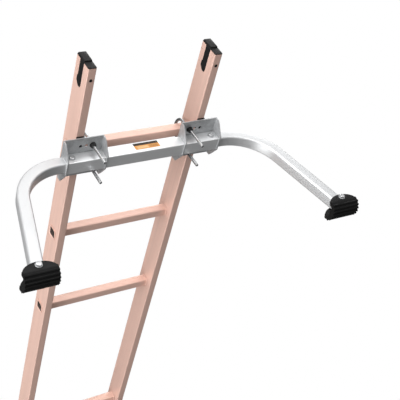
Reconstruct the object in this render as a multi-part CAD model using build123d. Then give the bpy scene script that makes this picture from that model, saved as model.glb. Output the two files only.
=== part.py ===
"""Two-section extension ladder with a wall stand-off clamped round its top rung.

Frame, in millimetres: the origin is on the floor, midway between the two shoes. +Z runs up
along the rails and +X to the ladder's right, seen from the wall. The wall is on the -Y side,
the climber on the +Y side. The fly section stands at its greatest working height.
"""

from build123d import *
import math
import os

os.makedirs("parts", exist_ok=True)

# ---- driving dimensions -------------------------------------------------------------------
PITCH = 304.8            # rung spacing
SECTION = 2438.4         # length of one section's rails
INNER = 329.4            # clear width between the rails
RAIL_W = 22.8            # rail section across the ladder
RAIL_D = 66.8            # rail section front to back
RAIL_WALL = 2.2
RAIL_R = 3.0             # outer corner radius of the rail
SECTION_GAP = 4.0        # air between the two sections
TOP_REACH = 262.5        # fly rail above its top rung's centre
BASE_RUNGS = 7
FLY_TOP_STEP = 12        # the fly's top rung stands this many pitches above the floor
FLY_STEPS = (0, 1, 2, 4, 5, 6)   # rung places down the fly: the fourth place is left open

# rung: rounded box tube, treads tilted, swaged in the rails
RUNG_D = 28.2
RUNG_H = 24.4
RUNG_WALL = 2.0
RUNG_R = 3.5
RUNG_TILT = 4.4          # degrees, the wall-side edge is the higher one
RUNG_Y = 1.1             # rung centre ahead of the rail's centre
TREAD_RIBS = 7
TREAD_RIB = 0.6
BEAD_GROW = 3.0
BEAD_T = 3.0
FLARE_GROW = 5.6
FLARE_T = 2.0

# stand-off, all heights from the top rung's centre
BAR = 36.0               # square crossbar
BAR_WALL = 2.0
BAR_HALF = 224.0
BAR_Z = -3.0
ARM = 31.6               # square arm tube, sliding in the bar
ARM_WALL = 2.0
ARM_R = 5.0
ARM_TUCK = 118.0         # arm length hidden in the bar
ARM_STRAIGHT = 14.0
ARM_BEND = 135.0
ARM_TURN = 76.5
ARM_RUN = 225.0          # from the bend to the pad's bolt
ARM_TAIL = 9.0
PLATE_T = 3.0
PLATE_IN = 113.0         # bracket from here to PLATE_OUT across the ladder
PLATE_OUT = 224.0
PLATE_TOP = 59.0
PLATE_LOW = -60.0
FLANGE = ((-9, 58), (-17, 51), (-28.8, 35), (-41, 21), (-38.5, 15), (-38.5, -21),
          (-22.4, -46), (-12, -60))     # gusset corners, from the plate's wall-side face
RUBBER_T = 5.6
RUBBER_OVER = 0.3        # rubber strip above the plate
UBOLT_X = 142.0
UBOLT_Z = 1.0
UBOLT_R = 32.65          # bend radius, half the leg spacing
UBOLT_ROD = 4.0
UBOLT_TIP = 74.5         # legs in front of the plate's face
UBOLT_BEND = -9.6        # start of the bend, behind the fly rail's middle
SPARE_HOLES = (159.0, 175.0)
HOLE_R = 4.5
NUT_AF = 13.0
NUT_H = 6.8
WASHER_R = 8.5
WASHER_T = 1.6
ARM_BOLT_X = 204.0
BOLT_R = 4.0

# wall pad
PAD_W = 82.0
PAD_H = 55.0
PAD_BACK = 12.5          # ear behind the bolt
PAD_SHOULDER = 13.0      # the ear's curve starts this far ahead of the bolt
PAD_JAW = 18.6           # floor of the jaw ahead of the bolt
PAD_ROLL = 2.5           # the rounded wall face is centred this far ahead of the bolt
PAD_ROLL_R = 29.0
PAD_RIB = 3.0
PAD_RIB_ROOT = 2.9       # half width of a rib at its root and at its tip
PAD_RIB_TIP = 1.5
PAD_RIB_STEP = 18.0      # degrees between ribs
PAD_RIBS = 7
PAD_GAP = 0.6            # air above and under the arm in the pad's jaw

# shoes
PIVOT_Z = 66.0
PIVOT_R = 6.0
RAIL_FOOT = 41.0         # lower end of the base rails
CHEEK_T = 4.0
CHEEK_AIR = 0.6
SOLE_PLATE = 5.0
SOLE_T = 9.0
SHOE_HALF = 54.0
SHOE_OVER = 7.0          # sole plate outside the cheeks
RUN_AIR = 0.05           # radial clearance of a running pin

# guides and rung locks
GUIDE_T = 3.0
GUIDE_H = 58.0
GUIDE_SIDE = 4.5         # guide stands off the passing rail, clear of the rung ends
GUIDE_LIP = 15.0
GUIDE_AIR = 0.6
RIVET_R = 3.2
RIVET_HEAD = 5.6
CAP_T = 2.6
CAP_STEP = 6.2           # top of the cap's raised part
CAP_STEP_Y = -7.0        # front of the cap's raised part
CAP_RIVET_HEAD = 4.2
LOCK_T = 8.0             # pawl thickness
LOCK_X = 150.0           # pawl's middle plane
LOCK_PIN_Y = 52.0        # pivot, from the base rung's centre
LOCK_PIN_Z = 80.0
LOCK_PIN_R = 5.0
LOCK_AIR = 0.4
TAIL_Z = 24.0            # top of the pawl's tail, above the pivot
POST_Z = 46.0            # underside of the spring's post, above the pivot
SPRING_Y = 28.0
SPRING_R = 4.4
SPRING_WIRE = 0.8
SPRING_PITCH = 3.6

# ---- worked-out places --------------------------------------------------------------------
RAIL_X = INNER / 2 + RAIL_W / 2
OUTER = INNER / 2 + RAIL_W
FLY_Y = RAIL_D + SECTION_GAP
TOP_Z = FLY_TOP_STEP * PITCH
FLY_TOP = TOP_Z + TOP_REACH
FLY_FOOT = FLY_TOP - SECTION
LOCK_RUNG_Z = math.ceil((FLY_FOOT + 1) / PITCH) * PITCH
FLY_FRONT = FLY_Y - RAIL_D / 2
PLATE_Y = FLY_FRONT - RUBBER_T - PLATE_T      # wall-side face of the bracket plate
BAR_Y = PLATE_Y - BAR / 2
BAR_ZC = TOP_Z + BAR_Z
SIDES = {"left": -1, "right": 1}


def save(node, solids):
    """Write one node as parts/NODE.step, as one solid or a group of separate solids."""
    solids = solids if isinstance(solids, list) else [solids]
    shape = solids[0] if len(solids) == 1 else Compound(children=solids)
    export_step(shape, f"parts/{node}.step")


def block(x0, x1, y0, y1, z0, z1):
    """A box from its low and high corners, given in either order."""
    size = Box(abs(x1 - x0), abs(y1 - y0), abs(z1 - z0))
    return Pos((x0 + x1) / 2, (y0 + y1) / 2, (z0 + z1) / 2) * size


def rod(radius, start, end):
    """A round bar between two points."""
    axis = Vector(*end) - Vector(*start)
    return extrude(Plane(origin=start, z_dir=axis.normalized()) * Circle(radius), axis.length)


def hexagon(across_flats, start, end):
    """A hexagonal bar between two points."""
    axis = Vector(*end) - Vector(*start)
    face = RegularPolygon(across_flats / math.sqrt(3), 6)
    return extrude(Plane(origin=start, z_dir=axis.normalized()) * face, axis.length)


def across(points, x0, x1):
    """An outline in (y, z), carried along X from x0 to x1."""
    face = make_face(Polyline(*[(0, y, z) for y, z in points], close=True))
    return Pos(min(x0, x1), 0, 0) * extrude(face, abs(x1 - x0), dir=(1, 0, 0))


def flat(points, z0, z1):
    """An outline in (x, y), carried up from z0 to z1."""
    face = make_face(Polyline(*[(x, y, 0) for x, y in points], close=True))
    return Pos(0, 0, z0) * extrude(face, z1 - z0, dir=(0, 0, 1))


def mirrored(shape, side):
    """A shape made for the right side, moved to the side asked for."""
    return shape if side > 0 else mirror(shape, about=Plane.YZ)


# ---- ladder sections ----------------------------------------------------------------------
def rung_face(grow=0.0):
    """The rung's outline in the YZ plane, larger all round by grow."""
    outline = RectangleRounded(RUNG_D + 2 * grow, RUNG_H + 2 * grow, RUNG_R + grow)
    return Rot(-RUNG_TILT, 0, 0) * (Plane.YZ * outline)


def rung_length(x0, x1, grow=0.0):
    return Pos(x0, 0, 0) * extrude(rung_face(grow), x1 - x0, dir=(1, 0, 0))


def rung(y, z):
    """A swaged tube: beads inside the rails, flared rims outside, ribs on the tread."""
    body = rung_length(-OUTER - FLARE_T, OUTER + FLARE_T)
    for side in SIDES.values():
        x = side * (INNER / 2 - BEAD_T / 2)
        body += rung_length(x - BEAD_T / 2, x + BEAD_T / 2, BEAD_GROW)
        x = side * (OUTER + FLARE_T / 2)
        body += rung_length(x - FLARE_T / 2, x + FLARE_T / 2, FLARE_GROW)
    reach = INNER / 2 - 3 * BEAD_T
    ribs = []
    for i in range(TREAD_RIBS):
        across_tread = (i - (TREAD_RIBS - 1) / 2) * (RUNG_D - 3 * RUNG_R) / (TREAD_RIBS - 1)
        rib = Pos(0, across_tread, RUNG_H / 2) * Box(2 * reach, 1.4, 2 * TREAD_RIB)
        ribs.append(Rot(-RUNG_TILT, 0, 0) * rib)
    body += ribs
    body -= rung_length(-OUTER - 2 * FLARE_T, OUTER + 2 * FLARE_T, -RUNG_WALL)
    return Pos(0, y + RUNG_Y, z) * body


def rail(side, y, z0, z1, rung_heights):
    """A box-section rail with the rungs' seats cut through both side walls."""
    tube = extrude(RectangleRounded(RAIL_W, RAIL_D, RAIL_R), z1 - z0)
    inner = RectangleRounded(RAIL_W - 2 * RAIL_WALL, RAIL_D - 2 * RAIL_WALL, RAIL_R - 1.5)
    tube -= extrude(inner, z1 - z0)
    tube = Pos(side * RAIL_X, y, z0) * tube
    for z in rung_heights:
        tube -= Pos(0, y + RUNG_Y, z) * rung_length(-OUTER - 1, OUTER + 1)
    return tube


def plug(z0, z1):
    """A block that fills the inside of a rail between two heights."""
    inside = RectangleRounded(RAIL_W - 2 * RAIL_WALL, RAIL_D - 2 * RAIL_WALL, RAIL_R - 1.5)
    return Pos(0, 0, z0) * extrude(inside, z1 - z0)


def fly_cap(side):
    """Black end cap: stepped top, plug in the rail, and a tongue let into each side wall."""
    top = FLY_TOP
    cap = plug(top - 78, top + 1)
    cap += Pos(0, 0, top) * extrude(RectangleRounded(RAIL_W, RAIL_D, RAIL_R), CAP_T)
    cap += block(-RAIL_W / 2 + 1, RAIL_W / 2 - 1, CAP_STEP_Y, RAIL_D / 2 - 2, top + 2,
                 top + CAP_STEP)
    return Pos(side * RAIL_X, FLY_Y, 0) * (cap + tongues(top, 0.6))


def tongues(top, proud):
    """Both tongues of a fly cap, standing proud of the rail's side faces."""
    outline = [(12, top + 1), (-9, top + 1), (-9, top - 64), (-7, top - 71), (4, top - 71),
               (15, top - 60), (15, top - 46), (12, top - 46)]
    half = RAIL_W / 2 + proud
    return across(outline, -half, half)


def base_cap(side):
    """Plug and cover that close the top of a base rail."""
    cap = plug(SECTION - 30, SECTION + 1)
    cap += Pos(0, 0, SECTION) * extrude(RectangleRounded(RAIL_W, RAIL_D, RAIL_R), 4)
    return Pos(side * RAIL_X, 0, 0) * cap


def foot_plug(side):
    """Plug in the open lower end of a fly rail."""
    cap = plug(FLY_FOOT, FLY_FOOT + 22)
    cap += Pos(0, 0, FLY_FOOT - 3) * extrude(RectangleRounded(RAIL_W, RAIL_D, RAIL_R), 3)
    return Pos(side * RAIL_X, FLY_Y, 0) * cap


def guide(own_y, other_y, z0):
    """Right-hand strap riveted to one section's rail and hooked behind the other's."""
    turn = 1 if other_y > own_y else -1
    near = own_y + turn * (RAIL_D / 2 - 1)
    far = other_y + turn * (RAIL_D / 2 + GUIDE_AIR)
    side_x = OUTER + GUIDE_SIDE
    z1 = z0 + GUIDE_H
    strap = block(OUTER, OUTER + GUIDE_T, own_y - turn * RAIL_D / 4, near, z0, z1)
    joggle = [(OUTER, near - turn * 3), (OUTER + GUIDE_T, near - turn * 3),
              (side_x + GUIDE_T, near + turn * 6), (side_x, near + turn * 6)]
    strap += flat(joggle, z0, z1)
    strap += block(side_x, side_x + GUIDE_T, near + turn * 5, far + turn * GUIDE_T, z0, z1)
    strap += block(side_x - GUIDE_LIP, side_x + GUIDE_T, far, far + turn * GUIDE_T, z0, z1)
    for z in (z0 + 15, z1 - 15):
        strap -= rod(RIVET_R, (OUTER - 1, own_y, z), (OUTER + GUIDE_T + 1, own_y, z))
    return strap


def rivet(start, end, head_out, head_r=RIVET_HEAD):
    """A closed-end rivet from start to end with a domed head outside start."""
    axis = (Vector(*end) - Vector(*start)).normalized()
    face = Vector(*start) - axis * head_out
    head = rod(head_r, tuple(face), start)
    head = fillet(head.edges().sort_by(Axis((0, 0, 0), tuple(axis)))[0], head_out * 0.7)
    return head + rod(RIVET_R, start, end)


def guide_rivets(own_y, z0):
    """Right-hand rivets of one guide, through the strap and the rail's outer wall."""
    made = []
    for z in (z0 + 15, z0 + GUIDE_H - 15):
        outside = OUTER + GUIDE_T
        made.append(rivet((outside, own_y, z), (outside - GUIDE_T - RAIL_WALL, own_y, z), 2))
    return made


# ---- rung locks ---------------------------------------------------------------------------
LOCK_Y = RUNG_Y + LOCK_PIN_Y
LOCK_Z = LOCK_RUNG_Z + LOCK_PIN_Z


def lock_bracket():
    """Right-hand plate on the fly rail's inner face, with a boss that carries the pawl."""
    face = INNER / 2
    plate = block(face - 3, face, LOCK_Y - 13, FLY_Y + 26, LOCK_Z - 30, LOCK_Z + POST_Z + 8)
    boss_end = LOCK_X + LOCK_T / 2 + LOCK_AIR
    plate += rod(11, (boss_end, LOCK_Y, LOCK_Z), (face - 1, LOCK_Y, LOCK_Z))
    plate += block(LOCK_X - 6, face - 2, LOCK_Y + SPRING_Y - 7, LOCK_Y + SPRING_Y + 7,
                   LOCK_Z + POST_Z, LOCK_Z + POST_Z + 8)
    plate -= rod(LOCK_PIN_R, (0, LOCK_Y, LOCK_Z), (face + 1, LOCK_Y, LOCK_Z))
    return plate


def lock_pin():
    """Right-hand pivot pin, headed on the inner side."""
    inner_face = LOCK_X - LOCK_T / 2 - LOCK_AIR
    pin = rod(LOCK_PIN_R, (inner_face - 1, LOCK_Y, LOCK_Z), (INNER / 2, LOCK_Y, LOCK_Z))
    return pin + rod(9, (inner_face - 3.5, LOCK_Y, LOCK_Z), (inner_face, LOCK_Y, LOCK_Z))


def lock_pawl():
    """Right-hand pawl: its foot is an arc about the pivot that bears on the base rung."""
    edge = Vector(0, RUNG_D / 2, RUNG_H / 2).rotate(Axis.X, -RUNG_TILT)
    reach = math.hypot(LOCK_PIN_Y - edge.Y, LOCK_PIN_Z - edge.Z) + RUNG_R / 2 - LOCK_AIR - 1.6
    low = LOCK_X - LOCK_T / 2
    disc = rod(reach, (low, LOCK_Y, LOCK_Z), (low + LOCK_T, LOCK_Y, LOCK_Z))
    outline = [(-66, -52), (-36, -80), (-20, -80), (12, -8), (SPRING_Y + 8, 8),
               (SPRING_Y + 8, TAIL_Z), (SPRING_Y - 8, TAIL_Z), (-4, 14), (-22, 2)]
    lever = across([(LOCK_Y + y, LOCK_Z + z) for y, z in outline], low, low + LOCK_T)
    pawl = fillet((lever & disc).edges().filter_by(Axis.X), 2.0)
    pawl += rod(14, (low, LOCK_Y, LOCK_Z), (low + LOCK_T, LOCK_Y, LOCK_Z))
    bore = LOCK_PIN_R + RUN_AIR
    return pawl - rod(bore, (low - 1, LOCK_Y, LOCK_Z), (low + LOCK_T + 1, LOCK_Y, LOCK_Z))


def lock_spring():
    """Right-hand compression spring, between the pawl's tail and the bracket's post."""
    length = POST_Z - TAIL_Z
    coil = Helix(SPRING_PITCH, length - SPRING_PITCH, SPRING_R)
    wire = sweep(Plane(origin=coil @ 0, z_dir=coil % 0) * Circle(SPRING_WIRE), path=coil)
    wire = Pos(0, 0, SPRING_PITCH / 2) * wire
    end_ring = Torus(SPRING_R, SPRING_WIRE)
    ends = [Pos(0, 0, SPRING_WIRE) * end_ring, Pos(0, 0, length - SPRING_WIRE) * end_ring]
    return Pos(LOCK_X, LOCK_Y + SPRING_Y, LOCK_Z + TAIL_Z) * (wire + ends)


# ---- shoes --------------------------------------------------------------------------------
def shoe():
    """Right-hand swivel shoe: sole plate and two cheeks with the pivot's running holes."""
    inner = INNER / 2 - CHEEK_AIR - CHEEK_T
    outer = OUTER + CHEEK_AIR + CHEEK_T
    top = SOLE_T + SOLE_PLATE
    body = block(inner - SHOE_OVER, outer + SHOE_OVER, -SHOE_HALF, SHOE_HALF, SOLE_T, top)
    body = fillet(body.edges().filter_by(Axis.Z), 8)
    for x in (inner, outer - CHEEK_T):
        cheek = across([(-34, top - 1), (34, top - 1), (17, PIVOT_Z + 4), (-17, PIVOT_Z + 4)],
                       x, x + CHEEK_T)
        body += cheek + rod(18, (x, 0, PIVOT_Z), (x + CHEEK_T, 0, PIVOT_Z))
    body -= rod(PIVOT_R + RUN_AIR, (0, 0, PIVOT_Z), (OUTER + 50, 0, PIVOT_Z))
    for y in (-SHOE_HALF + 12, SHOE_HALF - 12):
        for x in (inner + 3, outer - 3):
            body -= rod(RIVET_R, (x, y, SOLE_T - 1), (x, y, top + 1))
    return body


def shoe_sole():
    """Right-hand rubber sole with treads across it."""
    inner = INNER / 2 - CHEEK_AIR - CHEEK_T - SHOE_OVER
    outer = OUTER + CHEEK_AIR + CHEEK_T + SHOE_OVER
    body = block(inner, outer, -SHOE_HALF, SHOE_HALF, 0, SOLE_T)
    body = fillet(body.edges().filter_by(Axis.Z), 8)
    grooves = 8
    for i in range(grooves):
        y = (i - (grooves - 1) / 2) * 2 * SHOE_HALF / (grooves + 1)
        body -= block(inner - 1, outer + 1, y - 1.6, y + 1.6, -1, 3)
    return body


def sole_rivets():
    """Right-hand rivets that hold the sole to the shoe."""
    inner = INNER / 2 - CHEEK_AIR - CHEEK_T + 3
    outer = OUTER + CHEEK_AIR + CHEEK_T - 3
    top = SOLE_T + SOLE_PLATE
    made = []
    for y in (-SHOE_HALF + 12, SHOE_HALF - 12):
        for x in (inner, outer):
            made.append(rivet((x, y, top), (x, y, SOLE_T), 2))
    return made


def pivot_bolt():
    """Right-hand shoe bolt, fixed in the rail, with its head outside the cheek."""
    inside = INNER / 2 - CHEEK_AIR - CHEEK_T - 1
    outside = OUTER + CHEEK_AIR + CHEEK_T + 0.4
    bolt = rod(PIVOT_R, (inside - 11, 0, PIVOT_Z), (outside + 1, 0, PIVOT_Z))
    head = hexagon(18, (outside, 0, PIVOT_Z), (outside + 7, 0, PIVOT_Z))
    return bolt + head


def pivot_nut():
    inside = INNER / 2 - CHEEK_AIR - CHEEK_T - 0.4
    nut = hexagon(18, (inside - 10, 0, PIVOT_Z), (inside, 0, PIVOT_Z))
    return nut - rod(PIVOT_R, (0, 0, PIVOT_Z), (OUTER, 0, PIVOT_Z))


# ---- stand-off ----------------------------------------------------------------------------
def standoff_bar():
    """Square crossbar tube with the arm bolts' holes."""
    outer = Plane.YZ * RectangleRounded(BAR, BAR, 2.5)
    hollow = Plane.YZ * RectangleRounded(BAR - 2 * BAR_WALL, BAR - 2 * BAR_WALL, 1.2)
    tube = extrude(outer, 2 * BAR_HALF, dir=(1, 0, 0))
    tube -= extrude(hollow, 2 * BAR_HALF, dir=(1, 0, 0))
    tube = Pos(-BAR_HALF, BAR_Y, BAR_ZC) * tube
    for side in SIDES.values():
        x = side * ARM_BOLT_X
        tube -= rod(BOLT_R, (x, BAR_Y, BAR_ZC - BAR), (x, BAR_Y, BAR_ZC + BAR))
    return tube


def flange_outline():
    """Gusset outline in (y, z): a flat back, a blunt nose and a slope above and below."""
    back = PLATE_Y + PLATE_T
    front = [(PLATE_Y + y, TOP_Z + z) for y, z in FLANGE]
    return [(back, TOP_Z + PLATE_TOP - 1)] + front + [(back, TOP_Z + PLATE_LOW)]


def bar_bracket():
    """Right-hand U bracket: plate on the rail and two gusset flanges round the bar."""
    body = block(PLATE_IN, PLATE_OUT, PLATE_Y, PLATE_Y + PLATE_T,
                 TOP_Z + PLATE_LOW, TOP_Z + PLATE_TOP)
    for x in (PLATE_IN, PLATE_OUT - PLATE_T):
        flange = across(flange_outline(), x, x + PLATE_T)
        nose = flange.edges().filter_by(Axis.X).group_by(Axis.Y)
        body += fillet(nose[0] + nose[1], 2)
    low, high = BAR_ZC - BAR / 2, BAR_ZC + BAR / 2
    body -= block(PLATE_IN - 1, PLATE_OUT + 1, PLATE_Y, PLATE_Y - BAR, low, high)
    for x in (UBOLT_X,) + SPARE_HOLES:
        for z in (-UBOLT_R, UBOLT_R):
            height = TOP_Z + UBOLT_Z + z
            body -= rod(HOLE_R, (x, PLATE_Y - 1, height), (x, PLATE_Y + PLATE_T + 1, height))
    return body


def bracket_rubber():
    """Right-hand rubber strip between the bracket's plate and the rail."""
    y0 = PLATE_Y + PLATE_T
    return block(INNER / 2 + 0.5, OUTER - 0.5, y0, FLY_FRONT,
                 TOP_Z + PLATE_LOW + 1, TOP_Z + PLATE_TOP + RUBBER_OVER)


def u_bolt():
    """Right-hand U bolt round the top rung, legs towards the wall."""
    centre = TOP_Z + UBOLT_Z
    bend_y = FLY_Y + UBOLT_BEND
    tip_y = PLATE_Y - UBOLT_TIP
    body = rod(UBOLT_ROD, (UBOLT_X, tip_y, centre + UBOLT_R), (UBOLT_X, bend_y, centre + UBOLT_R))
    body = chamfer(body.edges().sort_by(Axis.Y)[0], 0.8)
    body += mirror(body, about=Plane.XY.offset(centre))
    ring_face = Pos(0, bend_y, centre + UBOLT_R) * (Plane.XZ * Circle(UBOLT_ROD))
    bend = revolve(ring_face, Axis((0, bend_y, centre), (1, 0, 0)), -180)
    return body + Pos(UBOLT_X, 0, 0) * bend


def clamp_nuts():
    """Right-hand nuts and washers on the U bolt's legs."""
    made = []
    for z in (-UBOLT_R, UBOLT_R):
        height = TOP_Z + UBOLT_Z + z
        at = [(UBOLT_X, PLATE_Y - d, height) for d in (0, WASHER_T, WASHER_T + NUT_H)]
        hole = rod(UBOLT_ROD, at[0], at[2])
        made.append(rod(WASHER_R, at[0], at[1]) - hole)
        made.append(hexagon(NUT_AF, at[1], at[2]) - hole)
    return made


def arm_places():
    """The arm's centre line: start, both ends of the bend, bolt, and the bend's centre."""
    turn = math.radians(ARM_TURN)
    start = (BAR_HALF - ARM_TUCK, BAR_Y)
    bend = (BAR_HALF + ARM_STRAIGHT, BAR_Y)
    centre = (bend[0], BAR_Y - ARM_BEND)
    after = (centre[0] + ARM_BEND * math.sin(turn), centre[1] + ARM_BEND * math.cos(turn))
    heading = (math.cos(turn), -math.sin(turn))
    bolt = (after[0] + ARM_RUN * heading[0], after[1] + ARM_RUN * heading[1])
    return start, bend, centre, after, heading, bolt


def arm_tube(size, corner):
    """A bent square bar along the arm's centre line, of one outer size."""
    start, bend, centre, after, heading, _ = arm_places()
    face = RectangleRounded(size, size, corner)
    tuck = Plane(origin=(start[0], start[1], BAR_ZC), z_dir=(1, 0, 0))
    straight = extrude(tuck * face, bend[0] - start[0])
    section = Plane(origin=(bend[0], bend[1], BAR_ZC), z_dir=(1, 0, 0)) * face
    curve = revolve(section, Axis((centre[0], centre[1], 0), (0, 0, 1)), -ARM_TURN)
    tail = Plane(origin=(after[0], after[1], BAR_ZC), x_dir=(0, 0, 1),
                 z_dir=(heading[0], heading[1], 0))
    return straight + curve + extrude(tail * face, ARM_RUN + ARM_TAIL)


def arm():
    """Right-hand arm: bent tube, drilled for its bar bolt and its pad bolt."""
    tube = arm_tube(ARM, ARM_R) - arm_tube(ARM - 2 * ARM_WALL, ARM_R - ARM_WALL)
    bolt = arm_places()[-1]
    for x, y in ((ARM_BOLT_X, BAR_Y), bolt):
        tube -= rod(BOLT_R, (x, y, BAR_ZC - BAR), (x, y, BAR_ZC + BAR))
    return tube


def upright_bolt(x, y, low, high):
    """A hexagon bolt standing on end and its nut, clamping from low to high."""
    bolt = rod(BOLT_R, (x, y, low - NUT_H - 3), (x, y, high + 1))
    bolt += rod(WASHER_R, (x, y, high), (x, y, high + 1.4))
    bolt += hexagon(NUT_AF, (x, y, high + 1), (x, y, high + 6.4))
    nut = hexagon(NUT_AF, (x, y, low - NUT_H), (x, y, low))
    return [bolt, nut - rod(BOLT_R, (x, y, low - NUT_H - 1), (x, y, low + 1))]


def wall_pad():
    """Right-hand rubber jaw: ears over and under the arm and a rounded, ribbed wall face."""
    x, y = arm_places()[-1]
    low, high = BAR_ZC - PAD_H / 2, BAR_ZC + PAD_H / 2
    shoulder, roll = y - PAD_SHOULDER, y - PAD_ROLL
    wide = (x - PAD_W, x + PAD_W)
    ears = extrude(Ellipse(PAD_W / 2, PAD_BACK + PAD_SHOULDER), PAD_H)
    body = Pos(x, shoulder, low) * ears & block(*wide, shoulder, y + 50, low, high)
    nose = block(x - PAD_W / 2, x + PAD_W / 2, y - 50, shoulder, low, high)
    body += nose & rod(PAD_ROLL_R, (wide[0], roll, BAR_ZC), (wide[1], roll, BAR_ZC))
    jaw = ARM / 2 + PAD_GAP
    body -= block(*wide, y - PAD_JAW, y + 2 * PAD_BACK, BAR_ZC - jaw, BAR_ZC + jaw)
    root, tip = PAD_ROLL_R - 1, PAD_ROLL_R + PAD_RIB
    section = ((root, -PAD_RIB_ROOT), (tip, -PAD_RIB_TIP), (tip, PAD_RIB_TIP), (root, PAD_RIB_ROOT))
    for i in range(PAD_RIBS):
        turn = math.radians(PAD_RIB_STEP * (i - (PAD_RIBS - 1) / 2))
        points = [(roll - r * math.cos(turn) + t * math.sin(turn),
                   BAR_ZC + r * math.sin(turn) + t * math.cos(turn)) for r, t in section]
        body += across(points, x - PAD_W / 2 + 0.5, x + PAD_W / 2 - 0.5)
    return body - rod(BOLT_R + RUN_AIR, (x, y, low - 1), (x, y, high + 1))


# ---- assembly -----------------------------------------------------------------------------
def make_ladder():
    """Rails, rungs, caps, guides, locks and shoes."""
    base_heights = [PITCH * (i + 1) for i in range(BASE_RUNGS)]
    fly_heights = [TOP_Z - PITCH * step for step in FLY_STEPS]
    fly_guide_z = FLY_FOOT + 4
    base_guide_z = SECTION - GUIDE_H - 6
    for name, side in SIDES.items():
        base_rail = rail(side, 0, RAIL_FOOT, SECTION, base_heights)
        base_rail -= rod(PIVOT_R, (side * (INNER / 2 - 1), 0, PIVOT_Z),
                         (side * (OUTER + 1), 0, PIVOT_Z))
        fly_rail = rail(side, FLY_Y, FLY_FOOT, FLY_TOP, fly_heights)
        fly_rail -= Pos(side * RAIL_X, FLY_Y, 0) * tongues(FLY_TOP, 1)
        for own_y, z0, which in ((0, base_guide_z, "base"), (FLY_Y, fly_guide_z, "fly")):
            for z in (z0 + 15, z0 + GUIDE_H - 15):
                hole = rod(RIVET_R, (side * (OUTER - RAIL_WALL - 1), own_y, z),
                           (side * (OUTER + 1), own_y, z))
                if which == "base":
                    base_rail -= hole
                else:
                    fly_rail -= hole
        cap_rivet_hole = rod(RIVET_R, (side * RAIL_X, FLY_FRONT - 1, FLY_TOP - 34),
                             (side * RAIL_X, FLY_FRONT + RAIL_WALL, FLY_TOP - 34))
        save(f"base_rail_{name}", base_rail)
        save(f"fly_rail_{name}", fly_rail - cap_rivet_hole)
        save(f"base_cap_{name}", base_cap(side))
        save(f"fly_cap_{name}", fly_cap(side))
        save(f"base_guide_{name}", mirrored(guide(0, FLY_Y, base_guide_z), side))
        save(f"fly_guide_{name}", mirrored(guide(FLY_Y, 0, fly_guide_z), side))
        save(f"lock_bracket_{name}", mirrored(lock_bracket(), side))
        save(f"lock_pawl_{name}", mirrored(lock_pawl(), side))
        save(f"lock_spring_{name}", mirrored(lock_spring(), side))
        save(f"shoe_{name}", mirrored(shoe(), side))
        save(f"shoe_sole_{name}", mirrored(shoe_sole(), side))
        save(f"sole_rivets_{name}", [mirrored(r, side) for r in sole_rivets()])
    for i, z in enumerate(base_heights):
        save(f"base_rung_{i + 1}", rung(0, z))
    for i, z in enumerate(fly_heights):
        save(f"fly_rung_{i + 1}", rung(FLY_Y, z))
    both = SIDES.values()
    save("base_guide_rivets", [mirrored(r, s) for s in both for r in guide_rivets(0, base_guide_z)])
    save("fly_guide_rivets", [mirrored(r, s) for s in both for r in guide_rivets(FLY_Y, fly_guide_z)])
    cap_rivet = rivet((RAIL_X, FLY_FRONT, FLY_TOP - 34),
                      (RAIL_X, FLY_FRONT + RAIL_WALL, FLY_TOP - 34), 1.2, CAP_RIVET_HEAD)
    save("fly_cap_rivets", [mirrored(cap_rivet, s) for s in both])
    save("fly_foot_plugs", [foot_plug(s) for s in both])
    save("lock_pins", [mirrored(lock_pin(), s) for s in both])
    save("shoe_bolts", [mirrored(pivot_bolt(), s) for s in both])
    save("shoe_nuts", [mirrored(pivot_nut(), s) for s in both])


def make_standoff():
    """Crossbar, brackets, clamps, arms and wall pads."""
    x, y = arm_places()[-1]
    save("standoff_bar", standoff_bar())
    for name, side in SIDES.items():
        save(f"bar_bracket_{name}", mirrored(bar_bracket(), side))
        save(f"bracket_rubber_{name}", mirrored(bracket_rubber(), side))
        save(f"u_bolt_{name}", mirrored(u_bolt(), side))
        save(f"arm_{name}", mirrored(arm(), side))
        save(f"wall_pad_{name}", mirrored(wall_pad(), side))
    both = SIDES.values()
    save("u_bolt_nuts", [mirrored(n, s) for s in both for n in clamp_nuts()])
    bar_bolt = upright_bolt(ARM_BOLT_X, BAR_Y, BAR_ZC - BAR / 2, BAR_ZC + BAR / 2)
    save("arm_bolts", [mirrored(b, s) for s in both for b in bar_bolt])
    pad_bolt = upright_bolt(x, y, BAR_ZC - PAD_H / 2 - 0.3, BAR_ZC + PAD_H / 2 + 0.3)
    save("pad_bolts", [mirrored(b, s) for s in both for b in pad_bolt])


make_ladder()
make_standoff()
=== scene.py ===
"""Looks of a two-section extension ladder with a wall stand-off, built round its CAD frame."""

import math

import bmesh
import bpy
import numpy as np
from bpy.props import FloatProperty, FloatVectorProperty, IntProperty, PointerProperty
from bpy.types import Operator, Panel, PropertyGroup
from mathutils import Matrix, Vector


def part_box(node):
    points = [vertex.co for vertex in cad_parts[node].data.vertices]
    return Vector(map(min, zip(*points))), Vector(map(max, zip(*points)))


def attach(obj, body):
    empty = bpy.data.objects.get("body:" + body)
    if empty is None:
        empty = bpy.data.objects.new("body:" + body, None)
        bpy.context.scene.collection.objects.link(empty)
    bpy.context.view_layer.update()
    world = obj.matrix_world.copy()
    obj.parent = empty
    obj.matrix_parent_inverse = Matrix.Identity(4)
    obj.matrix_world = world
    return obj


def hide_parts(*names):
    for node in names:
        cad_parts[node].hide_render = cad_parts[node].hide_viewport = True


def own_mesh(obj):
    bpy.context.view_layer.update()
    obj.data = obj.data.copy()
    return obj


bl_info = {
    "name": "Extension ladder with stand-off",
    "version": (1, 0, 0),
    "blender": (4, 5, 0),
    "location": "View3D > Sidebar > Ladder",
    "description": "Builds the visible pieces and finishes of an extension ladder",
    "category": "Object",
}

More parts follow.
